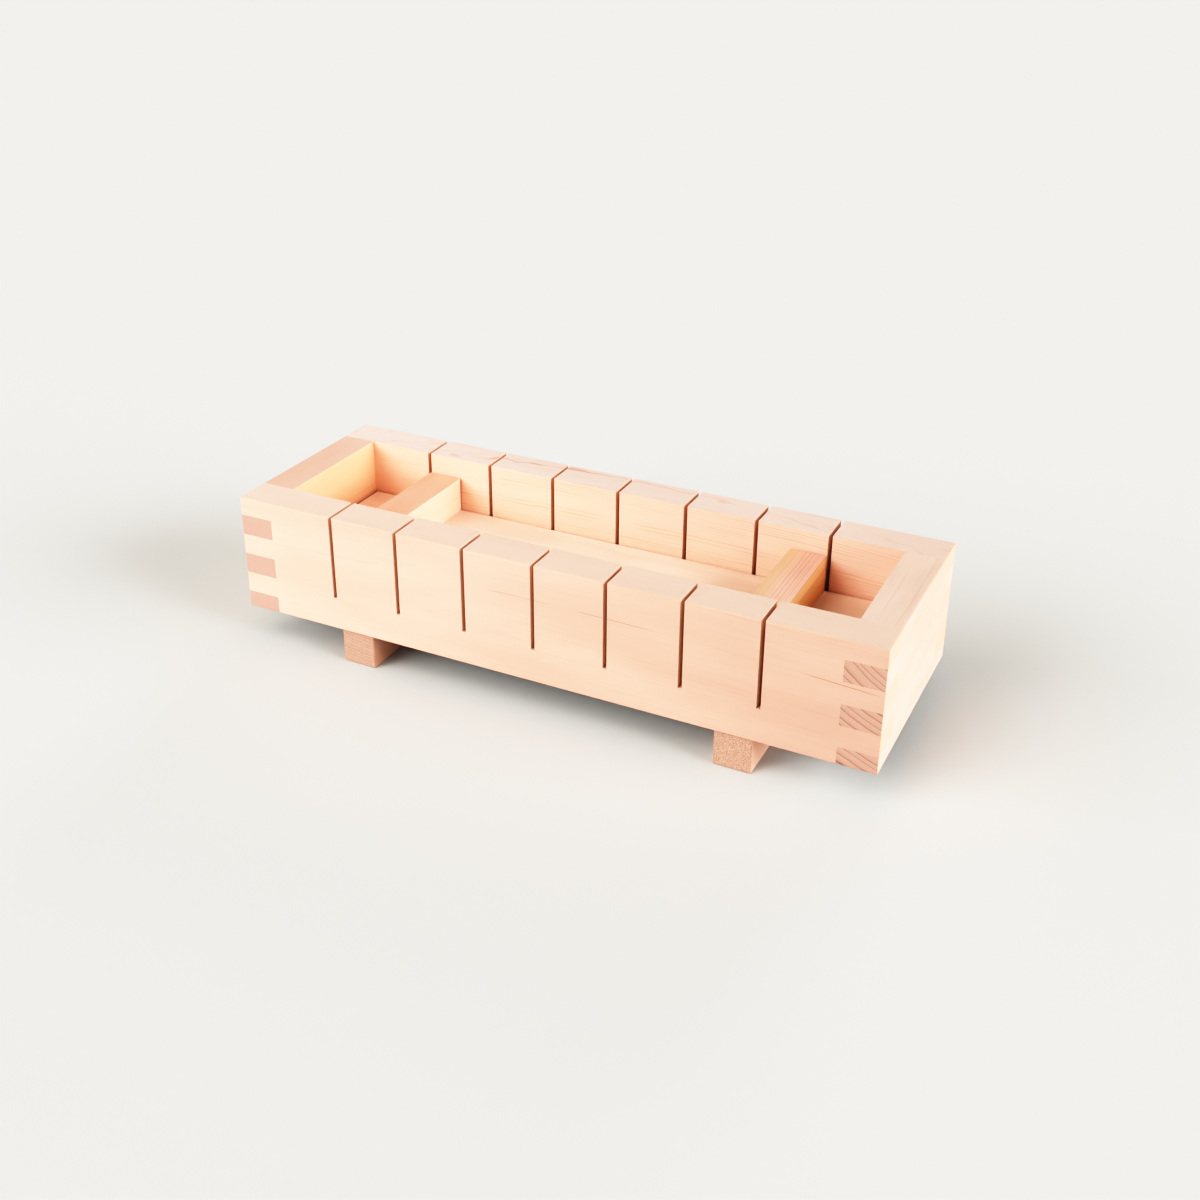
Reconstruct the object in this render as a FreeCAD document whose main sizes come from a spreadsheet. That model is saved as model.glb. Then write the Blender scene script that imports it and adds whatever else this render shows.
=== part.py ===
"""Wooden box press for pressed sushi, in millimetres.

A finger-jointed frame with knife kerfs stands on the two feet of a base board, and a
pressing lid with two battens lies inside it. The base, the frame and the lid are loose
from one another: both the frame and the lid lift straight up.

The origin is on the table, under the middle of the press. +X runs along the press to
the right, +Y to the back and +Z up.
"""
import FreeCAD, Part
import os
import Sketcher

SIZES = {
    # the frame
    "box_length": 270.0,            # outside length
    "box_width": 90.0,              # outside width
    "box_height": 50.0,             # height of its boards
    "side_thickness": 16.0,         # front and back boards
    "end_thickness": 15.0,          # left and right boards
    "top_finger": 7.75,             # height of the uppermost finger of each corner
    "bottom_finger": 7.25,          # height of the lowest finger of each corner
    "finger_pairs": 3,              # fingers that each board has at a corner
    # the knife kerfs
    "portion_count": 8,             # equal portions that the kerfs divide the rice into
    "kerf_width": 1.7,
    "kerf_overcut": 0.9,            # how far a kerf reaches below the top of the base board
    # the base
    "base_thickness": 15.0,
    "base_end_gap": 0.75,           # between the base board and each end of the frame
    "base_side_gap": 0.5,           # between the base board and each side of the frame
    "foot_width": 15.0,             # along the press
    "foot_height": 15.0,
    "foot_from_end": 46.0,          # from the end of the frame to the foot's outer face
    "foot_setback": 1.0,            # how far a foot stops short of each face of the frame
    # the lid
    "lid_thickness": 11.5,
    "lid_end_gap": 1.0,             # between the lid and each end of the frame
    "lid_side_gap": 0.5,            # between the lid and each side of the frame
    "batten_width": 15.0,           # along the press
    "batten_height": 15.0,
    "batten_from_end": 29.0,        # from the end of the lid to the batten's outer face
    # the dowels that hold the feet and the battens
    "dowel_diameter": 6.0,
    "dowel_spacing": 32.0,          # between the two dowels of one foot or batten
    "dowel_cover": 3.0,             # wood left over the bottom of a dowel hole
    "dowel_end_gap": 0.5,           # glue space at each end of a dowel
    "dowel_hole_clearance": 0.1,    # how much wider a hole is than its dowel
    "dowel_chamfer": 0.6,
    # sanding
    "edge_radius": 0.6,             # of the outside edges
}

INSIDE_LENGTH = "(sizes.box_length - 2 * sizes.end_thickness)"
INSIDE_WIDTH = "(sizes.box_width - 2 * sizes.side_thickness)"
FINGER = ("((sizes.box_height - sizes.top_finger - sizes.bottom_finger)"
          " / (2 * sizes.finger_pairs - 2))")
PORTION_PITCH = f"(({INSIDE_LENGTH} + sizes.kerf_width) / sizes.portion_count)"
KERF_BOTTOM = "(sizes.base_thickness - sizes.kerf_overcut)"
BASE_LENGTH = f"({INSIDE_LENGTH} - 2 * sizes.base_end_gap)"
BASE_WIDTH = f"({INSIDE_WIDTH} - 2 * sizes.base_side_gap)"
LID_LENGTH = f"({INSIDE_LENGTH} - 2 * sizes.lid_end_gap)"
LID_WIDTH = f"({INSIDE_WIDTH} - 2 * sizes.lid_side_gap)"
FOOT_LENGTH = "(sizes.box_width - 2 * sizes.foot_setback)"
LID_LEVEL = "(sizes.foot_height + sizes.base_thickness)"
BATTEN_LEVEL = f"({LID_LEVEL} + sizes.lid_thickness)"
FOOT_AXIS = "(sizes.box_length / 2 - sizes.foot_from_end - sizes.foot_width / 2)"
BATTEN_AXIS = f"({LID_LENGTH} / 2 - sizes.batten_from_end - sizes.batten_width / 2)"
DOWEL_STOP = "(sizes.dowel_cover + sizes.dowel_end_gap)"
HOLE_RADIUS = "((sizes.dowel_diameter + sizes.dowel_hole_clearance) / 2)"

HALF_TURN = FreeCAD.Rotation(FreeCAD.Vector(0, 0, 1), 180)
NO_TURN = FreeCAD.Rotation()
ON_PLANE = 1e-4
VOLUME_SHARE = 1e-6
ORIGIN_POINT = (-1, 1)
START, END, CENTRE = 1, 2, 3

doc = FreeCAD.newDocument("sushi_press")
sheet = doc.addObject("Spreadsheet::Sheet", "sizes")
for row, (alias, value) in enumerate(SIZES.items(), start=1):
    sheet.set(f"A{row}", str(value))
    sheet.setAlias(f"A{row}", alias)
doc.recompute()


def origin_plane(body, role):
    return next(item for item in body.Origin.OriginFeatures if item.Role == role)


def add_sketch(body, role, name, level=None):
    """A sketch on one of the body's own origin planes, raised by an expression."""
    sketch = body.newObject("Sketcher::SketchObject", name)
    sketch.AttachmentSupport = (origin_plane(body, role), [""])
    sketch.MapMode = "FlatFace"
    if level:
        sketch.setExpression("AttachmentOffset.Base.z", level)
    return sketch


def bind(sketch, constraint, expression):
    """Add a constraint and tie its value to the sheet."""
    index = sketch.addConstraint(constraint)
    sketch.setExpression(f"Constraints[{index}]", expression)


def rectangle(sketch, width, height, left=None, bottom=None):
    """A rectangle bound to the sheet; a place that isn't given is the sketch's axis."""
    corners = [FreeCAD.Vector(x, y, 0) for x, y in ((1, 1), (2, 1), (2, 2), (1, 2))]
    sides = [sketch.addGeometry(Part.LineSegment(corners[i], corners[(i + 1) % 4]))
             for i in range(4)]
    floor, right = sides[:2]
    for index, side in enumerate(sides):
        following = sides[(index + 1) % 4]
        sketch.addConstraint(Sketcher.Constraint("Coincident", side, END, following, START))
        direction = "Vertical" if index % 2 else "Horizontal"
        sketch.addConstraint(Sketcher.Constraint(direction, side))
    bind(sketch, Sketcher.Constraint("DistanceX", floor, START, floor, END, 1.0), width)
    bind(sketch, Sketcher.Constraint("DistanceY", right, START, right, END, 1.0), height)
    if left:
        bind(sketch, Sketcher.Constraint("DistanceX", *ORIGIN_POINT, floor, START, 1.0), left)
    else:
        sketch.addConstraint(Sketcher.Constraint("PointOnObject", floor, START, -2))
    if bottom:
        bind(sketch, Sketcher.Constraint("DistanceY", *ORIGIN_POINT, floor, START, 1.0), bottom)
    else:
        sketch.addConstraint(Sketcher.Constraint("PointOnObject", floor, START, -1))


def circle(sketch, radius, x=None, y=None):
    """A circle bound to the sheet; without a place it is centred on the origin."""
    middle = FreeCAD.Vector(1, 1, 0)
    ring = sketch.addGeometry(Part.Circle(middle, FreeCAD.Vector(0, 0, 1), 1.0))
    bind(sketch, Sketcher.Constraint("Radius", ring, 1.0), radius)
    if x and y:
        bind(sketch, Sketcher.Constraint("DistanceX", *ORIGIN_POINT, ring, CENTRE, 1.0), x)
        bind(sketch, Sketcher.Constraint("DistanceY", *ORIGIN_POINT, ring, CENTRE, 1.0), y)
    else:
        sketch.addConstraint(Sketcher.Constraint("Coincident", ring, CENTRE, *ORIGIN_POINT))


def add_body(label, x, y, z, turn=NO_TURN):
    """An empty body whose corner is placed by three expressions."""
    body = doc.addObject("PartDesign::Body", label)
    body.Placement = FreeCAD.Placement(FreeCAD.Vector(), turn)
    for axis, expression in (("x", x), ("y", y), ("z", z)):
        body.setExpression(f"Placement.Base.{axis}", expression)
    return body


def add_pad(body, sketch, length, backwards=False):
    pad = body.newObject("PartDesign::Pad", f"{body.Name}_blank")
    pad.Profile = sketch
    pad.setExpression("Length", length)
    pad.Reversed = backwards
    doc.recompute()
    return pad


def check_removed(before, feature, removed):
    """Stop if a cut took away another volume than its sketch and its depth say."""
    taken = before - feature.Shape.Volume
    if abs(taken - removed) > VOLUME_SHARE * removed:
        raise RuntimeError(f"{feature.Name} removed {taken:.3f} mm3, not {removed:.3f}")


def add_pocket(body, sketch, depth, backwards=False):
    """Cut the sketch's outlines to a depth, given as an expression, and check it."""
    before = body.Shape.Volume
    pocket = body.newObject("PartDesign::Pocket", f"{sketch.Name}_cut")
    pocket.Profile = sketch
    pocket.setExpression("Length", depth)
    pocket.Reversed = backwards
    doc.recompute()
    outlines = sum(Part.Face(wire).Area for wire in sketch.Shape.Wires)
    check_removed(before, pocket, outlines * pocket.Length.Value)
    return pocket


def add_pattern(body, pocket, spacing, count):
    """Repeat a cut along the horizontal axis of its sketch."""
    first = body.Tip.BaseFeature.Shape.Volume - pocket.Shape.Volume
    before = pocket.Shape.Volume
    pattern = body.newObject("PartDesign::LinearPattern", f"{pocket.Name}_row")
    pattern.Originals = [pocket]
    pattern.Direction = (pocket.Profile[0], ["H_Axis"])
    pattern.Mode = "Spacing"
    pattern.setExpression("Offset", spacing)
    pattern.setExpression("Occurrences", count)
    body.Tip = pattern
    doc.recompute()
    check_removed(before, pattern, first * (pattern.Occurrences - 1))


def edges_in_two_faces(shape, crisp):
    """Names of the edges where two outside faces meet, apart from those of a crisp face."""
    box = shape.BoundBox
    faces = [(axis, side) for axis in "XYZ" for side in ("Min", "Max") if axis + side != crisp]
    names = []
    for index, edge in enumerate(shape.Edges, start=1):
        on_faces = 0
        for axis, side in faces:
            level = getattr(box, axis + side)
            ends = [getattr(edge.BoundBox, axis + end) for end in ("Min", "Max")]
            on_faces += all(abs(end - level) < ON_PLANE for end in ends)
        if on_faces == 2:
            names.append(f"Edge{index}")
    return names


def ease_edges(body, crisp):
    """Sand the outside edges of a body round, but leave those of its crisp face sharp."""
    worked = body.Tip
    fillet = body.newObject("PartDesign::Fillet", f"{body.Name}_eased")
    fillet.Base = (worked, edges_in_two_faces(worked.Shape, crisp))
    fillet.setExpression("Radius", "sizes.edge_radius")
    body.Tip = fillet
    doc.recompute()


def finger_level(step):
    """Height of the line between two fingers, counted up from the bottom of a board."""
    if step == 0:
        return None
    return f"sizes.bottom_finger + {step - 1} * {FINGER}"


def finger_notches(body, role, board_length, depth, thickness, first, backwards):
    """Cut the notches at both ends of a board; the first one starts at step `first`."""
    sketch = add_sketch(body, role, f"{body.Name}_notches")
    top_step = 2 * int(sheet.finger_pairs)
    for step in range(first, top_step, 2):
        if step == 0:
            height = "sizes.bottom_finger"
        elif step == top_step - 1:
            height = "sizes.top_finger"
        else:
            height = FINGER
        for left in (None, f"{board_length} - {depth}"):
            rectangle(sketch, depth, height, left, finger_level(step))
    doc.recompute()
    add_pocket(body, sketch, thickness, backwards)


def side_board(label, x, y, turn):
    """A long board: end notches, a row of knife kerfs and eased outside edges."""
    body = add_body(label, x, y, "sizes.foot_height", turn)
    outline = add_sketch(body, "XZ_Plane", f"{label}_outline")
    rectangle(outline, "sizes.box_length", "sizes.box_height")
    add_pad(body, outline, "sizes.side_thickness", backwards=True)
    finger_notches(body, "XZ_Plane", "sizes.box_length", "sizes.end_thickness",
                   "sizes.side_thickness", first=0, backwards=False)
    kerf = add_sketch(body, "XZ_Plane", f"{label}_kerf")
    rectangle(kerf, "sizes.kerf_width", f"sizes.box_height - {KERF_BOTTOM}",
              left=f"sizes.end_thickness + {PORTION_PITCH} - sizes.kerf_width",
              bottom=KERF_BOTTOM)
    doc.recompute()
    cut = add_pocket(body, kerf, "sizes.side_thickness")
    add_pattern(body, cut, PORTION_PITCH, "sizes.portion_count - 1")
    ease_edges(body, crisp="YMax")
    return body


def end_board(label, x, y, turn):
    """A short board, notched to take the fingers of the long ones."""
    body = add_body(label, x, y, "sizes.foot_height", turn)
    outline = add_sketch(body, "YZ_Plane", f"{label}_outline")
    rectangle(outline, "sizes.box_width", "sizes.box_height")
    add_pad(body, outline, "sizes.end_thickness")
    finger_notches(body, "YZ_Plane", "sizes.box_width", "sizes.side_thickness",
                   "sizes.end_thickness", first=1, backwards=True)
    ease_edges(body, crisp="XMax")
    return body


def drill(body, places, depth, level=None):
    """Blind dowel holes: down from a raised level, or up from the bottom face."""
    sketch = add_sketch(body, "XY_Plane", f"{body.Name}_holes", level)
    for x, y in places:
        circle(sketch, HOLE_RADIUS, x, y)
    doc.recompute()
    add_pocket(body, sketch, depth, backwards=level is None)


def dowel_rows(width):
    """The two places of the dowels across a piece, from its front edge."""
    return [f"{width} / 2 {sign} sizes.dowel_spacing / 2" for sign in "-+"]


def plain_board(label, length, width, thickness, z):
    """A rectangular board in the middle of the press."""
    body = add_body(label, f"-{length} / 2", f"-{width} / 2", z)
    outline = add_sketch(body, "XY_Plane", f"{label}_outline")
    rectangle(outline, length, width)
    add_pad(body, outline, thickness)
    return body


def base_board():
    body = plain_board("base_board", BASE_LENGTH, BASE_WIDTH, "sizes.base_thickness",
                       "sizes.foot_height")
    places = [(f"{BASE_LENGTH} / 2 {sign} {FOOT_AXIS}", y)
              for sign in "-+" for y in dowel_rows(BASE_WIDTH)]
    drill(body, places, "sizes.base_thickness - sizes.dowel_cover")
    ease_edges(body, crisp="ZMax")
    return body


def lid_board():
    body = plain_board("lid_board", LID_LENGTH, LID_WIDTH, "sizes.lid_thickness", LID_LEVEL)
    places = [(f"{LID_LENGTH} / 2 {sign} {BATTEN_AXIS}", y)
              for sign in "-+" for y in dowel_rows(LID_WIDTH)]
    drill(body, places, "sizes.lid_thickness - sizes.dowel_cover", "sizes.lid_thickness")
    ease_edges(body, crisp="ZMin")
    return body


def cross_bar(label, axis, width, length, height, z):
    """A square bar across the press, in its middle on Y; `axis` is its middle on X."""
    body = add_body(label, f"{axis} - {width} / 2", f"-{length} / 2", z)
    outline = add_sketch(body, "XY_Plane", f"{label}_outline")
    rectangle(outline, width, length)
    add_pad(body, outline, height)
    return body


def foot(label, axis):
    body = cross_bar(label, axis, "sizes.foot_width", FOOT_LENGTH, "sizes.foot_height", "0")
    places = [("sizes.foot_width / 2", y) for y in dowel_rows(FOOT_LENGTH)]
    drill(body, places, "sizes.foot_height - sizes.dowel_cover", "sizes.foot_height")
    ease_edges(body, crisp="ZMax")
    return body


def batten(label, axis):
    body = cross_bar(label, axis, "sizes.batten_width", LID_WIDTH, "sizes.batten_height",
                     BATTEN_LEVEL)
    places = [("sizes.batten_width / 2", y) for y in dowel_rows(LID_WIDTH)]
    drill(body, places, "sizes.batten_height - sizes.dowel_cover")
    ease_edges(body, crisp="ZMin")
    return body


def dowel(label, x, y, bottom, reach):
    """A round dowel with chamfered ends; `reach` is the depth of wood it lies in."""
    body = add_body(label, x, y, f"{bottom} + {DOWEL_STOP}")
    outline = add_sketch(body, "XY_Plane", f"{label}_outline")
    circle(outline, "sizes.dowel_diameter / 2")
    pin = add_pad(body, outline, f"{reach} - 2 * {DOWEL_STOP}")
    rims = [f"Edge{index}" for index, edge in enumerate(pin.Shape.Edges, start=1)
            if edge.BoundBox.ZLength < ON_PLANE]
    chamfer = body.newObject("PartDesign::Chamfer", f"{label}_ends")
    chamfer.Base = (pin, rims)
    chamfer.setExpression("Size", "sizes.dowel_chamfer")
    body.Tip = chamfer
    doc.recompute()
    return body


def dowel_pair(bar_name, axis, bottom, reach):
    """The front and the back dowel of one foot or batten."""
    return [dowel(f"{bar_name}_{place}_dowel", axis, f"{sign}sizes.dowel_spacing / 2",
                  bottom, reach)
            for place, sign in (("front", "-"), ("back", ""))]


def frame():
    left, front = "-sizes.box_length / 2", "-sizes.box_width / 2"
    right, back = "sizes.box_length / 2", "sizes.box_width / 2"
    return [side_board("front_side_board", left, front, NO_TURN),
            side_board("back_side_board", right, back, HALF_TURN),
            end_board("left_end_board", left, front, NO_TURN),
            end_board("right_end_board", right, back, HALF_TURN)]


def base():
    reach = "(sizes.foot_height + sizes.base_thickness)"
    pieces = [base_board()]
    for side, axis in (("left", f"-{FOOT_AXIS}"), ("right", FOOT_AXIS)):
        pieces.append(foot(f"{side}_foot", axis))
        pieces += dowel_pair(f"{side}_foot", axis, "0", reach)
    return pieces


def lid():
    reach = "(sizes.lid_thickness + sizes.batten_height)"
    pieces = [lid_board()]
    for side, axis in (("left", f"-{BATTEN_AXIS}"), ("right", BATTEN_AXIS)):
        pieces.append(batten(f"{side}_batten", axis))
        pieces += dowel_pair(f"{side}_batten", axis, LID_LEVEL, reach)
    return pieces


def check_document(pieces):
    """Stop if a feature failed, or a piece isn't one whole closed solid."""
    for item in doc.Objects:
        if {"Invalid", "Error"} & set(item.State):
            raise RuntimeError(f"{item.Name} failed: {item.State}")
    for piece in pieces:
        shape = piece.Shape
        if shape.isNull() or not shape.isValid() or len(shape.Solids) != 1:
            raise RuntimeError(f"{piece.Label} isn't one valid solid")


all_pieces = frame() + base() + lid()
doc.recompute()
check_document(all_pieces)
os.makedirs("parts", exist_ok=True)
for piece in all_pieces:
    piece.Shape.exportStep(f"parts/{piece.Label}.step")
    print(f"{piece.Label}: {piece.Shape.Volume / 1000:.1f} cm3")
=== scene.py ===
"""Hinoki box press for pressed sushi: the wood of each board, a pale table and soft studio light."""

import math

import bmesh
import bpy
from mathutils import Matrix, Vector

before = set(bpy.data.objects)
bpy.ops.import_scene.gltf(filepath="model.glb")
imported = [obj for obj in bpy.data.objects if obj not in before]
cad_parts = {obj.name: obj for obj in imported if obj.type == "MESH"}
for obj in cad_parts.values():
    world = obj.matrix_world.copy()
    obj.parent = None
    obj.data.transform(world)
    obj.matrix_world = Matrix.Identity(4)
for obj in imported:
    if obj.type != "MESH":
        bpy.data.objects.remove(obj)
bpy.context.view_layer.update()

MM = 0.001

HALF_LENGTH = 135 * MM          # from the middle of the press to each end
KERFS_END = 100 * MM            # no kerf is further from the middle than this
PLANED_ENDS_START = 110 * MM    # the end wood of the corners is all further out than this

PLANED_ROUGHNESS = (0.62, 0.76)
SAWN_ROUGHNESS = 0.82
WOOD_IOR = 1.45
FIBRE_DEPTH = 0.04 * MM
# Partly painted shade: the tint that damps the highlight along the eased edges.
SANDED_AND_SHADE_TINT = "#F8F0E8"
# Painted shade: the greyer tone of the faces that look down, under the press.
UNDERSIDE_SHADE_GREY = "#CFC5C0"

TABLE_RADIUS = 14.0
BRIGHTEST = 3.0                 # the light at the top end of the print's tone curve
CURVE_STEPS = 24

# How a pattern is turned so that its own X runs along the grain.
GRAIN_TURN = {
    "X": (0.0, 0.0, 0.0),
    "Y": (0.0, 0.0, -math.pi / 2),
    "Z": (0.0, math.pi / 2, 0.0),
}
GRAIN_AXIS = {"X": (1.0, 0.0, 0.0), "Y": (0.0, 1.0, 0.0), "Z": (0.0, 0.0, 1.0)}


def linear(hex_colour):
    """Gives a #RRGGBB colour as Blender's linear red, green, blue and alpha."""
    parts = []
    for start in (1, 3, 5):
        value = int(hex_colour[start : start + 2], 16) / 255
        if value <= 0.04045:
            parts.append(value / 12.92)
        else:
            parts.append(((value + 0.055) / 1.055) ** 2.4)
    return (*parts, 1.0)


def add(tree, kind, inputs=None, stops=None, **options):
    """Adds one shader node with its options, its sockets' values or links, and a ramp's stops."""
    node = tree.nodes.new("ShaderNode" + kind)
    for option, value in options.items():
        setattr(node, option, value)
    for socket, value in (inputs or {}).items():
        if isinstance(value, bpy.types.NodeSocket):
            tree.links.new(value, node.inputs[socket])
        else:
            node.inputs[socket].default_value = value
    if stops:
        elements = node.color_ramp.elements
        while len(elements) < len(stops):
            elements.new(1.0)
        for element, (position, level) in zip(elements, stops):
            element.position = position
            element.color = (level, level, level, 1.0)
    return node


def board_space(tree, spot, grain, pith):
    """Gives the board's own millimetres: X along the fibres, the other two out from the pith."""
    if grain == "X":
        centre = (0.0, -pith[0], -pith[1])
    elif grain == "Y":
        centre = (0.0, pith[0], -pith[1])
    else:
        centre = (0.0, -pith[1], pith[0])
    return add(tree, "Mapping", {
        "Vector": spot,
        "Location": centre,
        "Rotation": GRAIN_TURN[grain],
        "Scale": (1 / MM, 1 / MM, 1 / MM),
    }).outputs[0]


def ring_radius(tree, board, ring, wander, ripple, bow):
    """How far out from the pith: circles that stray a little along the log and ripple finely."""
    across = add(tree, "VectorMath", {0: board, 1: (0.0, 1.0, 1.0)}, operation="MULTIPLY").outputs[0]
    reach = add(tree, "VectorMath", {0: across}, operation="LENGTH").outputs["Value"]
    slow = add(tree, "VectorMath", {0: board, 1: (1 / 110, 1 / 30, 1 / 30)},
               operation="MULTIPLY").outputs[0]
    stray = add(tree, "TexNoise", {"Vector": slow, "Scale": 1.0, "Detail": 1.0}).outputs[0]
    strayed = add(tree, "Math", {0: stray, 1: 2 * wander, 2: reach},
                  operation="MULTIPLY_ADD").outputs[0]
    quick = add(tree, "VectorMath", {0: board, 1: (1 / 16, 1 / 5, 1 / 5)},
                operation="MULTIPLY").outputs[0]
    small = add(tree, "TexNoise", {"Vector": quick, "Scale": 1.0, "Detail": 1.0}).outputs[0]
    radius = add(tree, "Math", {0: small, 1: ripple * ring, 2: strayed},
                 operation="MULTIPLY_ADD").outputs[0]
    if bow:
        length = add(tree, "SeparateXYZ", {0: board}).outputs[0]
        square = add(tree, "Math", {0: length, 1: length}, operation="MULTIPLY").outputs[0]
        radius = add(tree, "Math", {0: square, 1: bow / 10000, 2: radius},
                     operation="MULTIPLY_ADD").outputs[0]
    return radius


def years(tree, radius, ring, late):
    """Good and poor summers: gives where in its ring a point lies, and each ring's own luck."""
    summers = add(tree, "TexNoise", {"W": radius, "Scale": 0.35 / ring, "Detail": 1.0},
                  noise_dimensions="1D").outputs[0]
    evenly = add(tree, "Math", {0: radius, 1: ring}, operation="DIVIDE").outputs[0]
    age = add(tree, "Math", {0: summers, 1: 1.5, 2: evenly}, operation="MULTIPLY_ADD").outputs[0]
    season = add(tree, "Math", {0: age}, operation="FRACT").outputs[0]
    whole = add(tree, "Math", {0: age}, operation="FLOOR").outputs[0]
    luck = add(tree, "TexWhiteNoise", {"W": whole}, noise_dimensions="1D").outputs["Value"]
    turn = add(tree, "ValToRGB", {0: season}, stops=(
        (0.0, 0.0), (0.5, 0.03), (0.8, late), (0.92, 1.0), (1.0, 0.0))).outputs[0]
    return turn, luck


def planed_hinoki(name, grain, pith, ring, wood, line, end, end_line, edge=None, face_lines=0.5,
                  edge_lines=0.5, end_lines=0.6, specks=0.3, wander=1.2, ripple=0.22, bow=0.0,
                  drift=0.0, fade=(0.38, 0.6), rare=2.5, late=0.2, sawn=None, heart=None,
                  dry_year=None, dry_line="#A96B4C", dry_span=(-60, 60)):
    """Planed Japanese cypress: straight pale grain, with a thin darker line of late wood to each ring.

    Lengths are in millimetres, and strengths go from 0 to 1.

    grain: the axis that the fibres run along
    pith: where the tree's centre lies, on the two axes across the grain
    ring: the mean width of a ring
    wander, ripple: how far the rings stray, and how much of a ring's width they ripple by
    bow: how far out the rings have bowed, 100 mm from the middle of the board
    wood, edge: the pale and the deeper tone of the faces, and of the board's upper edge, whose tone is
    partly painted sheen and shade
    line, end, end_line: the tone of the faces' lines, of the end wood, and of its rings
    face_lines, edge_lines, end_lines: how strong the lines are on each
    specks: how strong the speckle of the end wood is
    drift: how much deeper the board is painted from its left end to its right, as painted shade for
    light that falls off along it
    fade: the levels of a random field between which a line goes from nearly lost to plain
    rare: the higher, the fewer rings are dark
    late: how early in a ring its line begins
    sawn: the tone of the kerfs' walls
    heart: how far out the yellower heartwood goes, and its tone
    dry_year, dry_line: how far out one narrow dark ring lies, its width, its strength and its tone
    dry_span: where along the board that ring is faint, and where it is plain
    """
    finish = bpy.data.materials.new(name)
    finish.use_nodes = True
    tree = finish.node_tree
    tree.nodes.clear()

    place = add(tree, "TexCoord").outputs
    press_x = add(tree, "SeparateXYZ", {0: place["Object"]}).outputs[0]
    board = board_space(tree, place["Object"], grain, pith)
    radius = ring_radius(tree, board, ring, wander, ripple, bow)
    turn, luck = years(tree, radius, ring, late)

    # Only a few rings end in a dark line.
    chance = add(tree, "Math", {0: luck, 1: rare}, operation="POWER").outputs[0]
    weight = add(tree, "MapRange", {"Value": chance, "To Min": 0.15, "To Max": 1.0}).outputs[0]
    late_wood = add(tree, "Math", {0: turn, 1: weight}, operation="MULTIPLY").outputs[0]

    # Faces along the grain: pale, in soft fields of two tones, with fine streaks and ring lines.
    # Fibres are some 0.04 mm wide: they are drawn ten times as wide, so that the streaks show.
    strands = add(tree, "VectorMath", {0: board, 1: (1 / 22, 1 / 0.45, 1 / 0.45)},
                  operation="MULTIPLY").outputs[0]
    fibre = add(tree, "TexNoise", {"Vector": strands, "Scale": 1.0, "Detail": 3.0}).outputs[0]
    fields = add(tree, "VectorMath", {0: board, 1: (1 / 70, 1 / 16, 1 / 16)},
                 operation="MULTIPLY").outputs[0]
    field = add(tree, "TexNoise", {"Vector": fields, "Scale": 1.0, "Detail": 2.0}).outputs[0]
    depth = add(tree, "MapRange", {"Value": field, "From Min": 0.35, "From Max": 0.65}).outputs[0]
    streak = add(tree, "MapRange", {"Value": fibre, "From Min": 0.5, "From Max": 0.8,
                                    "To Max": 0.5}).outputs[0]
    toned = add(tree, "Math", {0: depth, 1: streak}, operation="ADD", use_clamp=True).outputs[0]
    lines = face_lines
    if drift:
        # Painted shade: the board is painted paler at its left end and deeper towards its right, where
        # the light falls off, and its lines grow stronger to the right.
        along = add(tree, "MapRange", {"Value": press_x, "From Min": -HALF_LENGTH,
                                       "From Max": HALF_LENGTH}).outputs[0]
        toned = add(tree, "Mix", {0: drift, 2: toned, 3: along}).outputs[0]
        lines = add(tree, "MapRange", {"Value": along, "To Min": face_lines * (1 - drift / 2),
                                       "To Max": face_lines * (1 + drift / 2)}).outputs[0]
    # Faces that look up or down get their own tones: partly their own grain, partly painted sheen and
    # shade for how the light falls on the tops.
    turned = add(tree, "SeparateXYZ", {0: place["Normal"]}).outputs[2]
    upward = add(tree, "Math", {0: turned}, operation="ABSOLUTE").outputs[0]
    is_edge = add(tree, "MapRange", {"Value": upward, "From Min": 0.3, "From Max": 0.95},
                  interpolation_type="SMOOTHSTEP").outputs[0]
    edge = edge or wood
    pale = add(tree, "Mix", {0: is_edge, 6: linear(wood[0]), 7: linear(edge[0])},
               data_type="RGBA").outputs[2]
    deep = add(tree, "Mix", {0: is_edge, 6: linear(wood[1]), 7: linear(edge[1])},
               data_type="RGBA").outputs[2]
    body = add(tree, "Mix", {0: toned, 6: pale, 7: deep}, data_type="RGBA").outputs[2]
    # A plane cuts a ring so flat that its line fades out and comes back along the board.
    reaches = add(tree, "VectorMath", {0: board, 1: (1 / 26, 1 / 3, 1 / 3)},
                  operation="MULTIPLY").outputs[0]
    lie = add(tree, "TexNoise", {"Vector": reaches, "Scale": 1.0, "Detail": 1.0}).outputs[0]
    shown = add(tree, "MapRange", {"Value": lie, "From Min": fade[0], "From Max": fade[1],
                                   "To Min": 0.1, "To Max": 1.0}).outputs[0]
    strength = add(tree, "Mix", {0: is_edge, 2: lines, 3: edge_lines}).outputs[0]
    broken = add(tree, "Math", {0: shown, 1: strength}, operation="MULTIPLY").outputs[0]
    face_ring = add(tree, "Math", {0: late_wood, 1: broken}, operation="MULTIPLY").outputs[0]
    face = add(tree, "Mix", {0: face_ring, 6: body, 7: linear(line)}, data_type="RGBA").outputs[2]
    if dry_year:
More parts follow.
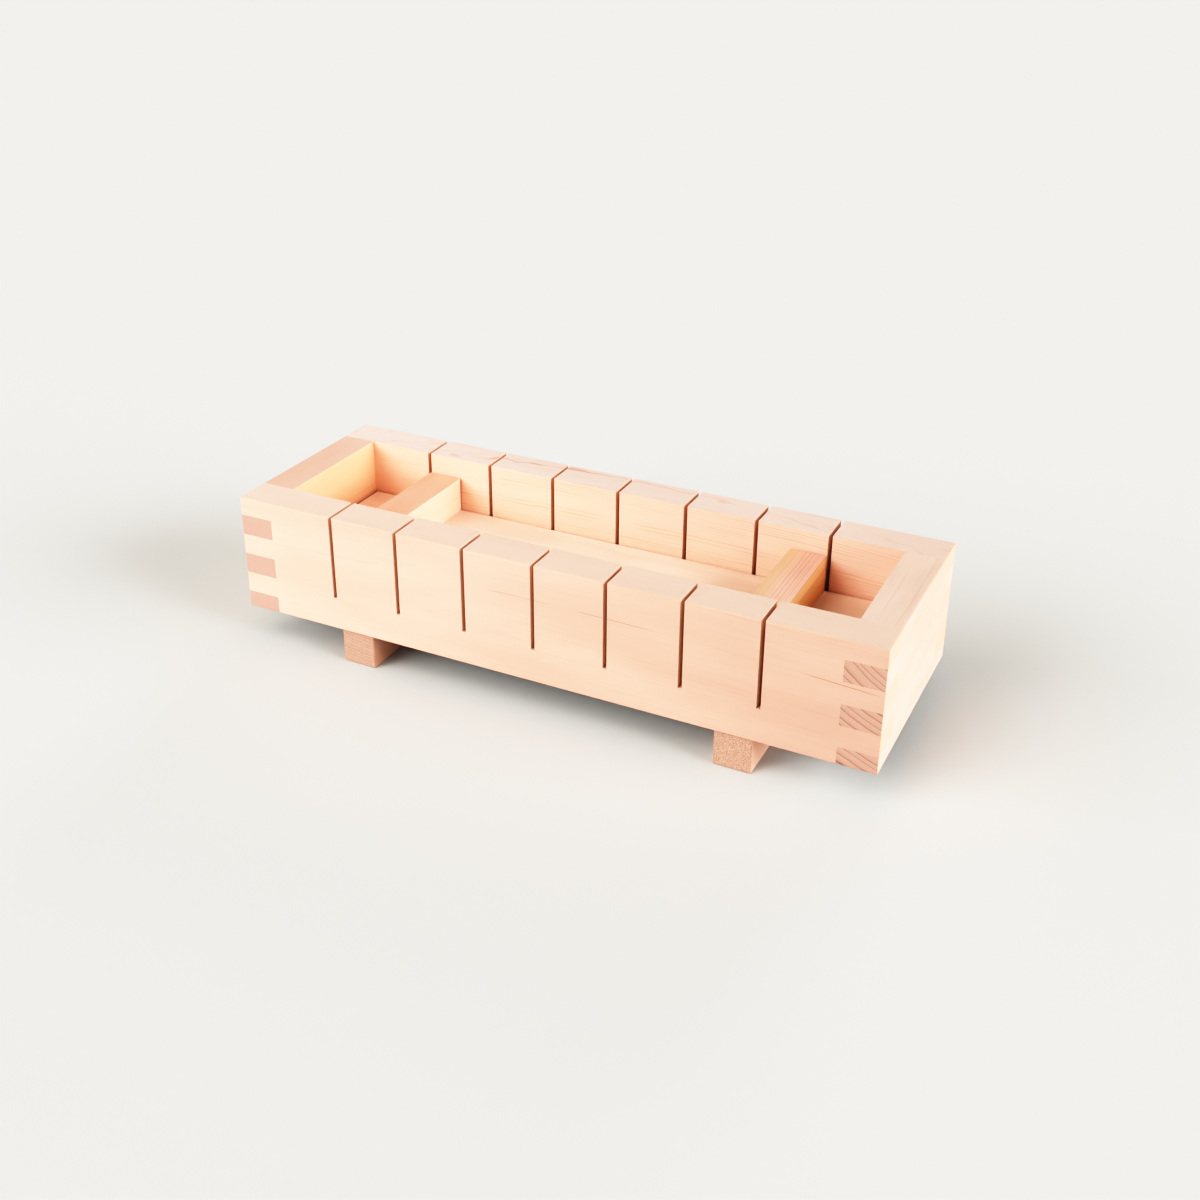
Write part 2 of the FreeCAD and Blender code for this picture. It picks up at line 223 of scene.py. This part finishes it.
        # One dry summer left a narrow ring, which is faint at one end of the board.
        out, width, mark = dry_year
        off = add(tree, "Math", {0: radius, 1: out}, operation="SUBTRACT").outputs[0]
        away = add(tree, "Math", {0: off}, operation="ABSOLUTE").outputs[0]
        on_line = add(tree, "MapRange", {"Value": away, "From Min": 0.2 * width,
                                         "From Max": 0.8 * width, "To Min": 1.0,
                                         "To Max": 0.0}).outputs[0]
        plain = add(tree, "MapRange", {"Value": press_x, "From Min": dry_span[0] * MM,
                                       "From Max": dry_span[1] * MM, "To Min": 0.45 * mark,
                                       "To Max": mark}).outputs[0]
        marked = add(tree, "Math", {0: on_line, 1: plain}, operation="MULTIPLY").outputs[0]
        dry = add(tree, "Math", {0: marked, 1: shown}, operation="MULTIPLY").outputs[0]
        face = add(tree, "Mix", {0: dry, 6: face, 7: linear(dry_line)}, data_type="RGBA").outputs[2]
    if heart:
        # Heartwood blends into sapwood over a few rings.
        out, tone = heart
        inner = add(tree, "MapRange", {"Value": radius, "From Min": out + 1.2,
                                       "From Max": out - 1.2, "To Max": 0.8}).outputs[0]
        face = add(tree, "Mix", {0: inner, 6: face, 7: linear(tone)}, data_type="RGBA").outputs[2]
    # The faces that look down are painted a greyer tone: painted shade under the press, which also keeps
    # the light they bounce onto the table grey rather than orange.
    is_under = add(tree, "MapRange", {"Value": turned, "From Min": -0.5, "From Max": -0.95},
                   interpolation_type="SMOOTHSTEP").outputs[0]
    face = add(tree, "Mix", {0: is_under, 6: face, 7: linear(UNDERSIDE_SHADE_GREY)},
               data_type="RGBA").outputs[2]

    # Ends across the grain: cut fibres soak up light, so they are darker, ringed and speckled.
    dots = add(tree, "VectorMath", {0: board, 1: (1 / 3.0, 1 / 0.3, 1 / 0.3)},
               operation="MULTIPLY").outputs[0]
    dot = add(tree, "TexNoise", {"Vector": dots, "Scale": 1.0, "Detail": 1.0}).outputs[0]
    speck = add(tree, "MapRange", {"Value": dot, "From Min": 0.42, "From Max": 0.66,
                                   "To Max": specks}).outputs[0]
    even = add(tree, "MapRange", {"Value": luck, "To Min": 0.45 * end_lines,
                                  "To Max": end_lines}).outputs[0]
    end_ring = add(tree, "Math", {0: turn, 1: even}, operation="MULTIPLY").outputs[0]
    cut = add(tree, "Math", {0: end_ring, 1: speck}, operation="ADD", use_clamp=True).outputs[0]
    end_face = add(tree, "Mix", {0: cut, 6: linear(end), 7: linear(end_line)},
                   data_type="RGBA").outputs[2]
    if sawn:
        distance = add(tree, "Math", {0: press_x}, operation="ABSOLUTE").outputs[0]
        is_end_wood = add(tree, "MapRange", {"Value": distance, "From Min": KERFS_END,
                                             "From Max": PLANED_ENDS_START}).outputs[0]
        end_face = add(tree, "Mix", {0: is_end_wood, 6: linear(sawn), 7: end_face},
                       data_type="RGBA").outputs[2]

    facing = add(tree, "VectorMath", {0: place["Normal"], 1: GRAIN_AXIS[grain]},
                 operation="DOT_PRODUCT").outputs["Value"]
    straight = add(tree, "Math", {0: facing}, operation="ABSOLUTE").outputs[0]
    is_end = add(tree, "MapRange", {"Value": straight, "From Min": 0.6, "From Max": 0.85},
                 interpolation_type="SMOOTHSTEP").outputs[0]
    wooden = add(tree, "Mix", {0: is_end, 6: face, 7: end_face}, data_type="RGBA").outputs[2]
    # The eased edges are toned a little warmer and deeper: partly their sanded fibres, partly painted
    # shade that damps the highlight along them.
    aside = add(tree, "VectorMath", {0: place["Normal"]}, operation="ABSOLUTE").outputs[0]
    parts = add(tree, "SeparateXYZ", {0: aside}).outputs
    most = add(tree, "Math", {0: parts[0], 1: parts[1]}, operation="MAXIMUM").outputs[0]
    square_on = add(tree, "Math", {0: most, 1: parts[2]}, operation="MAXIMUM").outputs[0]
    is_eased = add(tree, "MapRange", {"Value": square_on, "From Min": 0.98, "From Max": 0.85}).outputs[0]
    colour = add(tree, "Mix", {0: is_eased, 6: wooden, 7: linear(SANDED_AND_SHADE_TINT)}, data_type="RGBA",
                 blend_type="MULTIPLY").outputs[2]
    # A sharp plane leaves the faces silky; sawn and sanded ends stay duller.
    silk = add(tree, "MapRange", {"Value": fibre, "To Min": PLANED_ROUGHNESS[0],
                                  "To Max": PLANED_ROUGHNESS[1]}).outputs[0]
    dull = add(tree, "Mix", {0: is_end, 2: silk, 3: SAWN_ROUGHNESS}).outputs[0]
    height = add(tree, "Math", {0: late_wood, 1: 0.5, 2: fibre}, operation="MULTIPLY_ADD").outputs[0]
    relief = add(tree, "Bump", {"Height": height, "Strength": 0.2, "Distance": FIBRE_DEPTH}).outputs[0]
    surface = add(tree, "BsdfPrincipled", {
        "Base Color": colour,
        "Roughness": dull,
        "Normal": relief,
        "IOR": WOOD_IOR,
    }).outputs[0]
    add(tree, "OutputMaterial", {"Surface": surface})
    return finish


def dress(node, finish):
    """Gives a packed board its wood."""
    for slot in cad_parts[node].material_slots:
        slot.material = finish


def boards():
    """The wood of each piece; every board was sawn from its own place in a log, and some tones also
    carry painted shade.
    """
    dress("front_side_board", planed_hinoki(
        "planed_hinoki_front_board", "X", pith=(-30, -150), ring=2.0, wood=("#FACAB6", "#CA9F8F"),
        edge=("#D8BBAE", "#C2A79A"), line="#B98468", end="#EBB7A3", end_line="#D3A58A",
        face_lines=0.35, edge_lines=0.1, wander=0.5, bow=2.3, drift=0.8, sawn="#E0BFAD",
        dry_year=(201.7, 0.3, 0.6), dry_line="#8E5F3E", dry_span=(-60, 70), fade=(0.48, 0.6)))
    dress("back_side_board", planed_hinoki(
        "planed_hinoki_back_board", "X", pith=(7, -135), ring=1.2, wood=("#F9D3BE", "#DAB5A5"),
        edge=("#D7BFB7", "#C1A89D"), line="#C47A4E", end="#EBB7A3", end_line="#D3A58A",
        face_lines=0.65, edge_lines=0.3, wander=0.8, ripple=1.2, bow=2.4, drift=0.8, rare=0.8,
        sawn="#E0BFAD", dry_year=(204.7, 0.2, 0.6), dry_line="#B0786A", dry_span=(60, -10)))
    dress("left_end_board", planed_hinoki(
        "planed_hinoki_left_end", "Y", pith=(-190, -30), ring=2.8, wood=("#E9BC9C", "#E3B190"),
        edge=("#CDAB9E", "#C7A192"), line="#C28466", end="#D1A89D", end_line="#AB795F",
        face_lines=0.3, edge_lines=0.2, end_lines=0.12, specks=0.35))
    dress("right_end_board", planed_hinoki(
        "planed_hinoki_right_end", "Y", pith=(161, 97), ring=2.6, wood=("#E7BEAE", "#DEB3A0"),
        edge=("#CEB2A7", "#BDA293"), line="#9C7F69", end="#C69F90", end_line="#5E3A2B",
        face_lines=0.2, edge_lines=0.45, end_lines=0.9, specks=0.2))
    dress("base_board", planed_hinoki(
        "planed_hinoki_base_board", "X", pith=(10, -80), ring=2.4, wood=("#E0BDA5", "#D9B197"),
        line="#C28B6F", end="#C9A696", end_line="#9B7057"))
    dress("lid_board", planed_hinoki(
        "planed_hinoki_lid_board", "X", pith=(-14, -70), ring=3.0, wood=("#F8D7CA", "#C9AF9E"),
        line="#C89A80", end="#C5A89B", end_line="#98715B", face_lines=0.35, edge_lines=0.35,
        drift=0.55))
    dress("left_batten", planed_hinoki(
        "planed_hinoki_left_batten", "Y", pith=(-82, -60), ring=2.2, wood=("#EDCBB5", "#E6BDA4"),
        edge=("#D8A793", "#D19C86"), line="#C48870", end="#CBA297", end_line="#9D6D58",
        face_lines=0.3, edge_lines=0.3))
    dress("right_batten", planed_hinoki(
        "planed_hinoki_right_batten", "Y", pith=(74, 47), ring=1.0, wood=("#E2BC91", "#D9AD81"),
        edge=("#D8AFA0", "#CD9D8E"), line="#B06C4C", end="#CBA99D", end_line="#9D725C",
        face_lines=0.25, edge_lines=0.4, wander=0.3, fade=(0.1, 0.3), rare=0.6, late=0.8,
        heart=(11.6, "#C8A486")))
    # The left foot is toned deeper than the right: partly the wood's own variation, partly painted shade
    # for the deep shade it stands in under the frame.
    dress("left_foot", planed_hinoki(
        "planed_hinoki_left_foot", "Y", pith=(-70, 90), ring=1.5, wood=("#C49D8A", "#BD927B"),
        line="#BC876C", end="#C9A596", end_line="#936651", end_lines=0.6, specks=0.35))
    dress("right_foot", planed_hinoki(
        "planed_hinoki_right_foot", "Y", pith=(110, -60), ring=1.5, wood=("#E4C0AD", "#DBB09C"),
        line="#B9866A", end="#CBA898", end_line="#8A5E49", end_lines=0.1, specks=0.7))
    # The dowels are of a harder, browner wood, with the same kind of rings and fibres.
    peg = planed_hinoki(
        "turned_hardwood_dowels", "Z", pith=(60, 40), ring=1.2, wood=("#DBB48C", "#CFA57A"),
        line="#B8885F", end="#C39C77", end_line="#93694A")
    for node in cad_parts:
        if node.endswith("_dowel"):
            dress(node, peg)


def table():
    """A matt off-white table top that runs on out of sight."""
    bm = bmesh.new()
    bmesh.ops.create_circle(bm, cap_ends=True, segments=96, radius=TABLE_RADIUS)
    mesh = bpy.data.meshes.new("table_top")
    bm.to_mesh(mesh)
    bm.free()
    top = bpy.data.objects.new("table_top", mesh)
    bpy.context.scene.collection.objects.link(top)
    paint = bpy.data.materials.new("matt_off_white_paint")
    paint.use_nodes = True
    tree = paint.node_tree
    tree.nodes.clear()
    surface = add(tree, "BsdfPrincipled", {
        "Base Color": linear("#C6C8C7"),
        "Roughness": 0.9,
        "Specular IOR Level": 0.0,
    }).outputs[0]
    add(tree, "OutputMaterial", {"Surface": surface})
    mesh.materials.append(paint)


def lamp(name, turn, lift, strength, spread, tint="#FFFFFF"):
    """A big soft lamp far off: turn goes from the front to the right, lift up from the table."""
    light = bpy.data.lights.new(name, "SUN")
    light.energy = strength
    light.color = linear(tint)[:3]
    light.angle = math.radians(spread)
    item = bpy.data.objects.new(name, light)
    bpy.context.scene.collection.objects.link(item)
    turn = math.radians(turn)
    lift = math.radians(lift)
    toward = Vector((math.sin(turn) * math.cos(lift), -math.cos(turn) * math.cos(lift), math.sin(lift)))
    item.rotation_mode = "QUATERNION"
    item.rotation_quaternion = toward.to_track_quat("Z", "Y")


def studio():
    """A white room with a warm ceiling, a big window on the right and softboxes all round."""
    world = bpy.data.worlds.new("white_room")
    bpy.context.scene.world = world
    world.use_nodes = True
    tree = world.node_tree
    tree.nodes.clear()
    height = add(tree, "SeparateXYZ", {0: add(tree, "TexCoord").outputs["Generated"]}).outputs[2]
    is_ceiling = add(tree, "MapRange", {"Value": height, "From Min": 0.3, "From Max": 0.8}).outputs[0]
    paint = add(tree, "Mix", {0: is_ceiling, 6: linear("#FAFCFF"), 7: linear("#FFF0E0")},
                data_type="RGBA").outputs[2]
    room = add(tree, "Background", {"Color": paint, "Strength": 0.48}).outputs[0]
    # Low views see the backdrop past the table's edge; it is as pale as the table.
    backdrop = add(tree, "Background", {"Color": linear("#FFFFFA"), "Strength": 1.4}).outputs[0]
    is_seen = add(tree, "LightPath").outputs["Is Camera Ray"]
    seen = add(tree, "MixShader", {0: is_seen, 1: room, 2: backdrop}).outputs[0]
    add(tree, "OutputWorld", {"Surface": seen})
    lamp("right_window", 91, 12.5, 7.26, 44)
    lamp("right_high_window", 78, 28, 1.01, 20)
    lamp("front_left_softbox", -55, 21, 2.16, 34)
    lamp("front_softbox", -27, 25, 2.72, 30)
    lamp("upper_left_softbox", -35, 50, 1.36, 30, "#FFF7EB")
    lamp("overhead_softbox", 0, 72, 0.82, 40, "#FFF3E2")
    lamp("back_softbox", 180, 15, 1.95, 25)
    lamp("left_softbox", 252, 17, 1.0, 45)


def camera():
    """A short telephoto view from the front right, with the frame shifted a little."""
    data = bpy.data.cameras.new("camera")
    data.sensor_width = 36.0
    data.lens = 43.63
    data.shift_x = 0.0198
    data.shift_y = -0.0737
    data.clip_end = 100.0
    item = bpy.data.objects.new("camera", data)
    bpy.context.scene.collection.objects.link(item)
    item.location = (230.8 * MM, -462.9 * MM, 309.7 * MM)
    item.rotation_mode = "QUATERNION"
    item.rotation_quaternion = Vector((-0.4103, 0.8079, -0.4231)).to_track_quat("-Z", "Y")
    bpy.context.scene.camera = item


def develop():
    """Bright and crisp like a printed picture: deep shadows, and whites that roll off softly."""
    view = bpy.context.scene.view_settings
    view.view_transform = "Standard"
    view.use_curve_mapping = True
    tones = view.curve_mapping
    tones.white_level = (BRIGHTEST, BRIGHTEST, BRIGHTEST)
    tones.use_clip = True
    curve = tones.curves[3]
    curve.points[0].location = (0.0, 0.0)
    curve.points[1].location = (1.0, 1.0)
    for step in range(1, CURVE_STEPS):
        light = step / CURVE_STEPS
        print_tone = 1 - math.exp(-((light * BRIGHTEST) ** 2))
        curve.points.new(light, print_tone)
    tones.update()


camera()
boards()
table()
studio()
develop()
